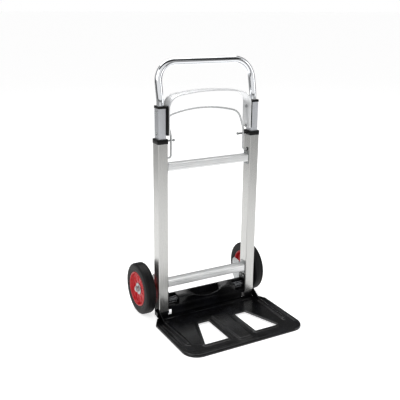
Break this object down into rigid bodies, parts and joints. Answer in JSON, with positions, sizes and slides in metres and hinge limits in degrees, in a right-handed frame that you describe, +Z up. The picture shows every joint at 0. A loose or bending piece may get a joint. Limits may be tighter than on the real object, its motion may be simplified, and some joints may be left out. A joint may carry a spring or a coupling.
{
  "type": "hand truck",
  "caption": "Folding aluminium hand truck with a hinged toe plate, fold-out wheels, a telescoping upper frame, a carrying arch and a release bail.",
  "frame": {"origin": "on the ground, midway across the width and midway between the toe plate's front edge and the wheels' back", "axes": "+Z up, -Y the front where the toe plate points, +X to the right seen from the front view's camera side"},
  "size_m": [0.456, 0.431, 0.827],
  "materials": {
    "aluminium": "brushed, clear anodised",
    "black_plastic": "moulded, satin",
    "black_paint": "black powder coat, semi-gloss",
    "chrome": "polished",
    "rubber": "solid rubber, matt",
    "red_plastic": "moulded, glossy",
    "grey_plastic": "moulded, satin",
    "zinc_steel": "zinc plated",
    "spring_steel": "oiled spring wire"
  },
  "bodies": {
    "frame": {"left_rail": "aluminium", "right_rail": "aluminium", "upper_crossbar": "aluminium", "lower_crossbar": "aluminium", "bar_fittings": "zinc_steel", "fitting_rivets": "zinc_steel", "left_collar": "black_plastic", "right_collar": "black_plastic", "left_foot": "black_plastic", "right_foot": "black_plastic", "cross_piece": "black_paint", "cross_piece_rivets": "zinc_steel", "spring_pins": "zinc_steel", "fold_springs": "spring_steel", "left_hinge_bracket": "zinc_steel", "right_hinge_bracket": "zinc_steel", "hinge_bracket_rivets": "zinc_steel", "fold_pivot_pins": "zinc_steel", "bail_bushes": "black_plastic", "toe_hinge_bolts": "black_paint", "toe_hinge_washers": "black_paint"},
    "upper_frame": {"left_inner_tube": "aluminium", "right_inner_tube": "aluminium", "left_top_cap": "black_plastic", "right_top_cap": "black_plastic", "spacers": "black_plastic", "u_handle": "chrome", "carry_arch": "aluminium", "handle_bolts": "zinc_steel", "handle_nuts": "zinc_steel"},
    "bail": {"release_bail": "zinc_steel"},
    "left_pin": {"left_lock_pin": "zinc_steel"},
    "right_pin": {"right_lock_pin": "zinc_steel"},
    "toe": {"toe_plate": "black_paint"},
    "left_arm": {"left_wheel_bracket": "zinc_steel", "left_axle": "zinc_steel", "left_axle_sleeve": "zinc_steel", "left_axle_nut": "zinc_steel"},
    "right_arm": {"right_wheel_bracket": "zinc_steel", "right_axle": "zinc_steel", "right_axle_sleeve": "zinc_steel", "right_axle_nut": "zinc_steel"},
    "left_wheel": {"left_tyre": "rubber", "left_rim": "red_plastic", "left_wheel_bush": "grey_plastic"},
    "right_wheel": {"right_tyre": "rubber", "right_rim": "red_plastic", "right_wheel_bush": "grey_plastic"}
  },
  "joints": [
    {"name": "extend", "type": "slide", "parent": "frame", "child": "upper_frame", "axis": [0, 0, 1], "range_m": [0, 0.27]},
    {"name": "toe_fold", "type": "hinge", "parent": "frame", "child": "toe", "pos_m": [0, 0.0555, 0.02], "axis": [-1, 0, 0], "range_deg": [0, 90]},
    {"name": "left_fold", "type": "hinge", "parent": "frame", "child": "left_arm", "pos_m": [-0.158, 0.0965, 0.085], "axis": [0, 0, -1], "range_deg": [0, 90]},
    {"name": "right_fold", "type": "hinge", "parent": "frame", "child": "right_arm", "pos_m": [0.158, 0.0965, 0.085], "axis": [0, 0, 1], "range_deg": [0, 90]},
    {"name": "left_spin", "type": "hinge", "parent": "left_arm", "child": "left_wheel", "pos_m": [-0.206, 0.1305, 0.085], "axis": [1, 0, 0], "continuous": true},
    {"name": "right_spin", "type": "hinge", "parent": "right_arm", "child": "right_wheel", "pos_m": [0.206, 0.1305, 0.085], "axis": [1, 0, 0], "continuous": true},
    {"name": "bail_swing", "type": "hinge", "parent": "frame", "child": "bail", "pos_m": [0, 0.0645, 0.531], "axis": [1, 0, 0], "range_deg": [0, 12]},
    {"name": "left_unlock", "type": "slide", "parent": "frame", "child": "left_pin", "axis": [1, 0, 0], "range_m": [0, 0.004]},
    {"name": "right_unlock", "type": "slide", "parent": "frame", "child": "right_pin", "axis": [-1, 0, 0], "range_m": [0, 0.004]}
  ],
  "couplings": [
    {"joint": "left_fold", "follows": "toe_fold", "ratio": 1},
    {"joint": "right_fold", "follows": "toe_fold", "ratio": 1},
    {"joint": "left_unlock", "follows": "bail_swing", "m_per_rad": 0.019},
    {"joint": "right_unlock", "follows": "bail_swing", "m_per_rad": 0.019}
  ]
}
